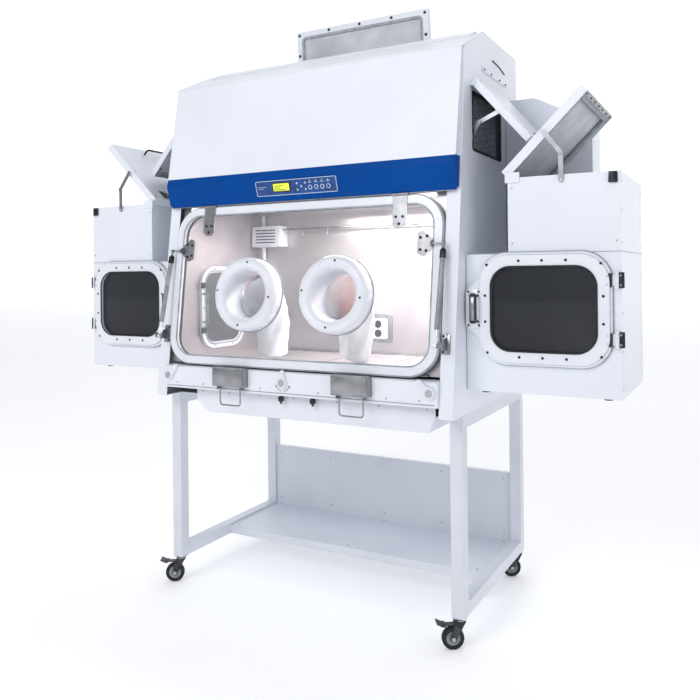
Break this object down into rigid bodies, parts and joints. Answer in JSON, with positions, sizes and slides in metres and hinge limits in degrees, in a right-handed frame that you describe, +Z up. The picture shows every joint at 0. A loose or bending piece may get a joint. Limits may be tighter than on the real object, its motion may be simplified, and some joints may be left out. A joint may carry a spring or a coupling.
{
  "type": "laboratory glove box",
  "caption": "Gloved isolator cabinet with a hinged raked window, side pass chambers with doors and lids, service covers and top hatch, on a wheeled stand",
  "frame": {"origin": "on the floor, midway across and at mid-depth of the whole machine", "axes": "X runs across the front to the right, Y from the front to the back, Z up"},
  "size_m": [2.276, 0.857, 2.3684],
  "materials": {
    "powder_white": "bluish-white textured powder coat",
    "shelf_white": "white powder coat",
    "stainless": "brushed stainless",
    "blue_enamel": "glossy dark blue",
    "panel_film": "printed membrane",
    "filter_media": "pleated filter and fan housings",
    "clear_panel": "clear laminated glass",
    "smoked_glass": "smoked acrylic",
    "white_plastic": "moulded white",
    "sleeve_rubber": "pale glove rubber",
    "caster_zinc": "dark painted steel",
    "tyre_black": "black rubber",
    "black_plastic": "black moulded",
    "strut_steel": "polished rod",
    "strut_grey": "grey cylinder",
    "door_white": "white moulded"
  },
  "bodies": {
    "cabinet": {"stand_frame": "powder_white", "stand_shelf": "shelf_white", "stand_panel": "shelf_white", "cabinet_shell": "powder_white", "chamber_liner": "stainless", "front_ledge": "powder_white", "under_pan": "powder_white", "hood_front": "powder_white", "hood_top": "powder_white", "fascia": "blue_enamel", "control_panel": "panel_film", "filters_and_fans": "filter_media", "front_fittings": "stainless", "pass_boxes": "powder_white", "rear_ducts": "powder_white"},
    "caster_fork_front_left": {"caster_fork_front_left": "caster_zinc"},
    "caster_wheel_front_left": {"caster_wheel_front_left": "tyre_black"},
    "caster_pedal_front_left": {"caster_pedal_front_left": "black_plastic"},
    "caster_fork_front_right": {"caster_fork_front_right": "caster_zinc"},
    "caster_wheel_front_right": {"caster_wheel_front_right": "tyre_black"},
    "caster_pedal_front_right": {"caster_pedal_front_right": "black_plastic"},
    "caster_fork_rear_left": {"caster_fork_rear_left": "caster_zinc"},
    "caster_wheel_rear_left": {"caster_wheel_rear_left": "tyre_black"},
    "caster_fork_rear_right": {"caster_fork_rear_right": "caster_zinc"},
    "caster_wheel_rear_right": {"caster_wheel_rear_right": "tyre_black"},
    "window": {"window_frame": "powder_white", "window_glass": "clear_panel", "glove_rings": "white_plastic", "glove_sleeves": "sleeve_rubber", "window_fittings": "stainless"},
    "strut_rod_left": {"strut_rod_left": "strut_steel"},
    "strut_tube_left": {"strut_tube_left": "strut_grey"},
    "strut_rod_right": {"strut_rod_right": "strut_steel"},
    "strut_tube_right": {"strut_tube_right": "strut_grey"},
    "latch_lever_left": {"latch_lever_left": "white_plastic"},
    "latch_lever_middle": {"latch_lever_middle": "white_plastic"},
    "latch_lever_right": {"latch_lever_right": "white_plastic"},
    "clamp_bail_left": {"clamp_bail_left": "stainless"},
    "clamp_bail_right": {"clamp_bail_right": "stainless"},
    "pass_door_left": {"pass_door_left": "door_white", "door_glass_left": "smoked_glass"},
    "door_handle_left": {"door_handle_left": "black_plastic"},
    "pass_lid_left": {"pass_lid_left": "powder_white"},
    "lid_stay_low_left": {"lid_stay_low_left": "stainless"},
    "lid_stay_high_left": {"lid_stay_high_left": "stainless"},
    "side_cover_left": {"side_cover_left": "powder_white"},
    "cover_stay_low_left": {"cover_stay_low_left": "stainless"},
    "cover_stay_high_left": {"cover_stay_high_left": "stainless"},
    "inner_door_left": {"inner_door_left": "door_white"},
    "pass_door_right": {"pass_door_right": "door_white", "door_glass_right": "smoked_glass"},
    "door_handle_right": {"door_handle_right": "black_plastic"},
    "pass_lid_right": {"pass_lid_right": "powder_white"},
    "lid_stay_low_right": {"lid_stay_low_right": "stainless"},
    "lid_stay_high_right": {"lid_stay_high_right": "stainless"},
    "side_cover_right": {"side_cover_right": "powder_white"},
    "cover_stay_low_right": {"cover_stay_low_right": "stainless"},
    "cover_stay_high_right": {"cover_stay_high_right": "stainless"},
    "inner_door_right": {"inner_door_right": "door_white"},
    "top_hatch": {"top_hatch": "powder_white"}
  },
  "joints": [
    {"name": "swivel_front_left", "type": "hinge", "parent": "cabinet", "child": "caster_fork_front_left", "pos_m": [-0.6125, -0.2775, 0.091], "axis": [0, 0, 1], "continuous": true},
    {"name": "roll_front_left", "type": "hinge", "parent": "caster_fork_front_left", "child": "caster_wheel_front_left", "pos_m": [-0.63455, -0.29128, 0.038], "axis": [-0.5299, 0.848, 0], "continuous": true},
    {"name": "brake_front_left", "type": "hinge", "parent": "caster_fork_front_left", "child": "caster_pedal_front_left", "pos_m": [-0.61928, -0.28174, 0.085], "axis": [0.5299, -0.848, 0], "range_deg": [0, 10]},
    {"name": "swivel_front_right", "type": "hinge", "parent": "cabinet", "child": "caster_fork_front_right", "pos_m": [0.6125, -0.2775, 0.091], "axis": [0, 0, 1], "continuous": true},
    {"name": "roll_front_right", "type": "hinge", "parent": "caster_fork_front_right", "child": "caster_wheel_front_right", "pos_m": [0.59045, -0.29128, 0.038], "axis": [-0.5299, 0.848, 0], "continuous": true},
    {"name": "brake_front_right", "type": "hinge", "parent": "caster_fork_front_right", "child": "caster_pedal_front_right", "pos_m": [0.60572, -0.28174, 0.085], "axis": [0.5299, -0.848, 0], "range_deg": [0, 10]},
    {"name": "swivel_rear_left", "type": "hinge", "parent": "cabinet", "child": "caster_fork_rear_left", "pos_m": [-0.6125, 0.4075, 0.091], "axis": [0, 0, 1], "continuous": true},
    {"name": "roll_rear_left", "type": "hinge", "parent": "caster_fork_rear_left", "child": "caster_wheel_rear_left", "pos_m": [-0.63455, 0.39372, 0.038], "axis": [-0.5299, 0.848, 0], "continuous": true},
    {"name": "swivel_rear_right", "type": "hinge", "parent": "cabinet", "child": "caster_fork_rear_right", "pos_m": [0.6125, 0.4075, 0.091], "axis": [0, 0, 1], "continuous": true},
    {"name": "roll_rear_right", "type": "hinge", "parent": "caster_fork_rear_right", "child": "caster_wheel_rear_right", "pos_m": [0.59045, 0.39372, 0.038], "axis": [-0.5299, 0.848, 0], "continuous": true},
    {"name": "window_hinge", "type": "hinge", "parent": "cabinet", "child": "window", "pos_m": [0, -0.30689, 1.54511], "axis": [-1, 0, 0], "range_deg": [0, 60], "deforming": ["glove_sleeves"]},
    {"name": "strut_foot_left", "type": "hinge", "parent": "cabinet", "child": "strut_rod_left", "pos_m": [-0.59, -0.419, 1.035], "axis": [1, 0, 0], "range_deg": [-0.5, 21.19]},
    {"name": "strut_slide_left", "type": "slide", "parent": "strut_rod_left", "child": "strut_tube_left", "axis": [0, 0.2378, 0.9713], "range_m": [-0.0005, 0.10755]},
    {"name": "strut_foot_right", "type": "hinge", "parent": "cabinet", "child": "strut_rod_right", "pos_m": [0.59, -0.419, 1.035], "axis": [1, 0, 0], "range_deg": [-0.5, 21.19]},
    {"name": "strut_slide_right", "type": "slide", "parent": "strut_rod_right", "child": "strut_tube_right", "axis": [0, 0.2378, 0.9713], "range_m": [-0.0005, 0.10755]},
    {"name": "latch_left", "type": "hinge", "parent": "cabinet", "child": "latch_lever_left", "pos_m": [-0.559, -0.395, 0.875], "axis": [0, 1, 0], "range_deg": [-40, 100]},
    {"name": "latch_middle", "type": "hinge", "parent": "cabinet", "child": "latch_lever_middle", "pos_m": [-0.019, -0.395, 0.875], "axis": [0, 1, 0], "range_deg": [-95, 95]},
    {"name": "latch_right", "type": "hinge", "parent": "cabinet", "child": "latch_lever_right", "pos_m": [0.559, -0.395, 0.875], "axis": [0, 1, 0], "range_deg": [-100, 40]},
    {"name": "bail_left", "type": "hinge", "parent": "cabinet", "child": "clamp_bail_left", "pos_m": [-0.248, -0.41, 0.844], "axis": [-1, 0, 0], "range_deg": [0, 100]},
    {"name": "bail_right", "type": "hinge", "parent": "cabinet", "child": "clamp_bail_right", "pos_m": [0.272, -0.41, 0.844], "axis": [-1, 0, 0], "range_deg": [0, 100]},
    {"name": "door_left", "type": "hinge", "parent": "cabinet", "child": "pass_door_left", "pos_m": [-1.124, -0.2595, 1.15], "axis": [0, 0, -1], "range_deg": [0, 110]},
    {"name": "handle_left", "type": "hinge", "parent": "pass_door_left", "child": "door_handle_left", "pos_m": [-0.666, -0.2669, 1.201], "axis": [-1, 0, 0], "range_deg": [0, 35], "stiffness_Nm_per_rad": 0.6},
    {"name": "lid_left", "type": "hinge", "parent": "cabinet", "child": "pass_lid_left", "pos_m": [-0.785, -0.01675, 1.59], "axis": [0, 1, 0], "range_deg": [-45, 0]},
    {"name": "lid_link_low_left", "type": "hinge", "parent": "cabinet", "child": "lid_stay_low_left", "pos_m": [-0.958, -0.2575, 1.563], "axis": [0, 1, 0], "range_deg": [-88, 1]},
    {"name": "lid_link_high_left", "type": "hinge", "parent": "lid_stay_low_left", "child": "lid_stay_high_left", "pos_m": [-0.958, -0.2575, 1.651], "axis": [0, 1, 0], "range_deg": [-1, 119.3]},
    {"name": "cover_left", "type": "hinge", "parent": "cabinet", "child": "side_cover_left", "pos_m": [-0.648, -0.003, 1.928], "axis": [0, 1, 0], "range_deg": [-41, 0]},
    {"name": "cover_link_low_left", "type": "hinge", "parent": "cabinet", "child": "cover_stay_low_left", "pos_m": [-0.627, -0.164, 1.745], "axis": [0, 1, 0], "range_deg": [-1, 101.4]},
    {"name": "cover_link_high_left", "type": "hinge", "parent": "cover_stay_low_left", "child": "cover_stay_high_left", "pos_m": [-0.657, -0.164, 1.796], "axis": [0, 1, 0], "range_deg": [-99.7, 1]},
    {"name": "inner_left", "type": "hinge", "parent": "cabinet", "child": "inner_door_left", "pos_m": [-0.574, 0.119, 1.132], "axis": [0, 0, 1], "range_deg": [0, 100]},
    {"name": "door_right", "type": "hinge", "parent": "cabinet", "child": "pass_door_right", "pos_m": [1.124, -0.2595, 1.15], "axis": [0, 0, 1], "range_deg": [0, 110]},
    {"name": "handle_right", "type": "hinge", "parent": "pass_door_right", "child": "door_handle_right", "pos_m": [0.666, -0.2669, 1.201], "axis": [-1, 0, 0], "range_deg": [0, 35], "stiffness_Nm_per_rad": 0.6},
    {"name": "lid_right", "type": "hinge", "parent": "cabinet", "child": "pass_lid_right", "pos_m": [0.785, -0.01675, 1.59], "axis": [0, -1, 0], "range_deg": [-45, 0]},
    {"name": "lid_link_low_right", "type": "hinge", "parent": "cabinet", "child": "lid_stay_low_right", "pos_m": [0.958, -0.2575, 1.563], "axis": [0, -1, 0], "range_deg": [-88, 1]},
    {"name": "lid_link_high_right", "type": "hinge", "parent": "lid_stay_low_right", "child": "lid_stay_high_right", "pos_m": [0.958, -0.2575, 1.651], "axis": [0, -1, 0], "range_deg": [-1, 119.3]},
    {"name": "cover_right", "type": "hinge", "parent": "cabinet", "child": "side_cover_right", "pos_m": [0.648, -0.003, 1.928], "axis": [0, -1, 0], "range_deg": [-41, 0]},
    {"name": "cover_link_low_right", "type": "hinge", "parent": "cabinet", "child": "cover_stay_low_right", "pos_m": [0.627, -0.164, 1.745], "axis": [0, -1, 0], "range_deg": [-1, 101.4]},
    {"name": "cover_link_high_right", "type": "hinge", "parent": "cover_stay_low_right", "child": "cover_stay_high_right", "pos_m": [0.657, -0.164, 1.796], "axis": [0, -1, 0], "range_deg": [-99.7, 1]},
    {"name": "inner_right", "type": "hinge", "parent": "cabinet", "child": "inner_door_right", "pos_m": [0.574, 0.119, 1.132], "axis": [0, 0, -1], "range_deg": [0, 100]},
    {"name": "hatch", "type": "hinge", "parent": "cabinet", "child": "top_hatch", "pos_m": [0, 0.217, 2.1554], "axis": [-1, 0, 0], "range_deg": [-86, 0]}
  ],
  "couplings": [
    {"joint": "strut_foot_left", "follows": "window_hinge", "ratio": 0.34487},
    {"joint": "strut_slide_left", "follows": "window_hinge", "m_per_rad": 0.10222},
    {"joint": "strut_foot_right", "follows": "window_hinge", "ratio": 0.34487},
    {"joint": "strut_slide_right", "follows": "window_hinge", "m_per_rad": 0.10222},
    {"joint": "lid_link_low_left", "follows": "lid_left", "ratio": 1.9341},
    {"joint": "lid_link_high_left", "follows": "lid_left", "ratio": -2.6279},
    {"joint": "cover_link_low_left", "follows": "cover_left", "ratio": -2.4493},
    {"joint": "cover_link_high_left", "follows": "cover_left", "ratio": 2.4083},
    {"joint": "lid_link_low_right", "follows": "lid_right", "ratio": 1.9341},
    {"joint": "lid_link_high_right", "follows": "lid_right", "ratio": -2.6279},
    {"joint": "cover_link_low_right", "follows": "cover_right", "ratio": -2.4493},
    {"joint": "cover_link_high_right", "follows": "cover_right", "ratio": 2.4083}
  ]
}
